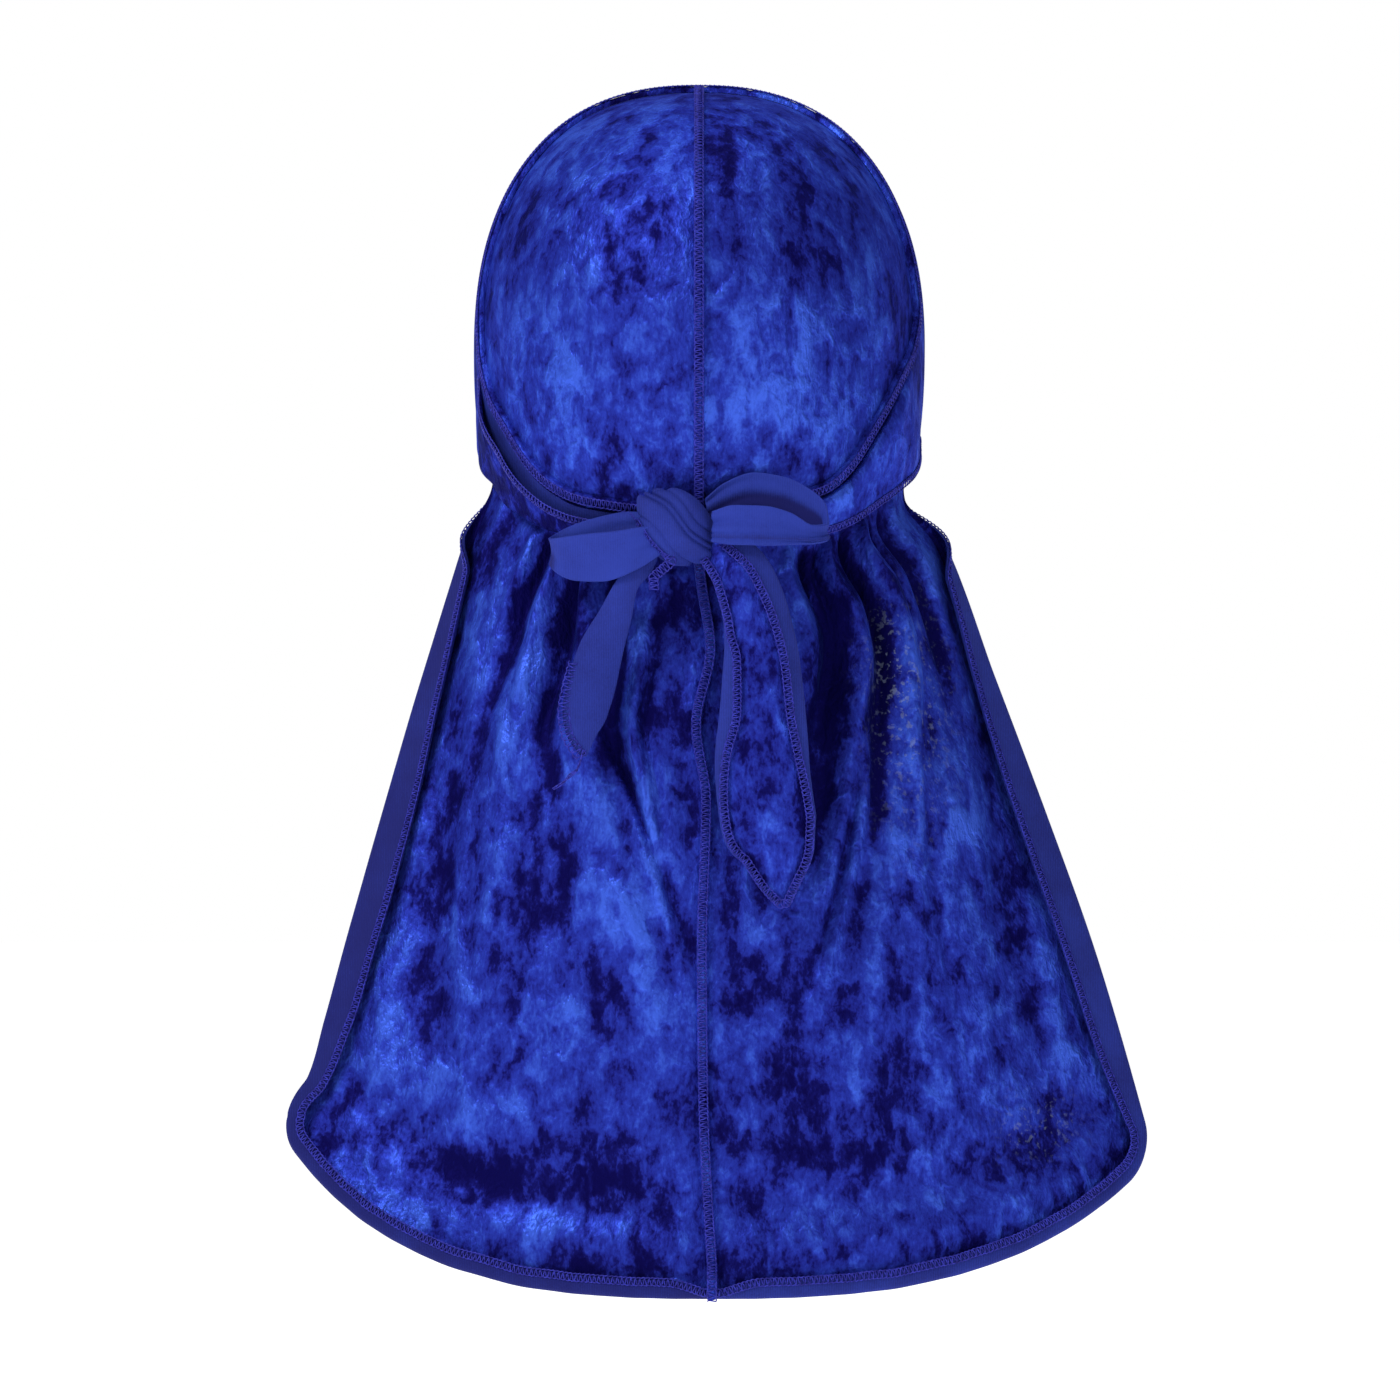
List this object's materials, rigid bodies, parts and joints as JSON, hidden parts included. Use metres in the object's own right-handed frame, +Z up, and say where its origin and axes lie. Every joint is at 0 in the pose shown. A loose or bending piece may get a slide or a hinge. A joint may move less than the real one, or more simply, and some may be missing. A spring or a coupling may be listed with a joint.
{
  "type": "durag",
  "caption": "Blue crushed-velvet durag as worn: two-panel crown with a long flared cape, front band, and straps tied in a bow at the nape.",
  "frame": {"origin": "the inside top of the crown, where the durag sits on the head", "axes": "+Z up, face towards -Y, cape towards +Y, the wearer's left towards +X"},
  "size_m": [0.3004, 0.2055, 0.4253],
  "materials": {
    "velvet": "crushed velvet",
    "knit": "matte knit, the velvet's reverse",
    "thread": "matte overlock thread"
  },
  "bodies": {
    "root": {"left_panel": "velvet", "right_panel": "velvet", "front_band": "velvet", "left_strap": "velvet", "right_strap": "velvet", "right_tail": "velvet", "left_tail": "knit", "left_loop": "knit", "right_loop": "knit", "knot": "knit", "centre_seam": "thread", "front_seam": "thread"}
  },
  "joints": []
}
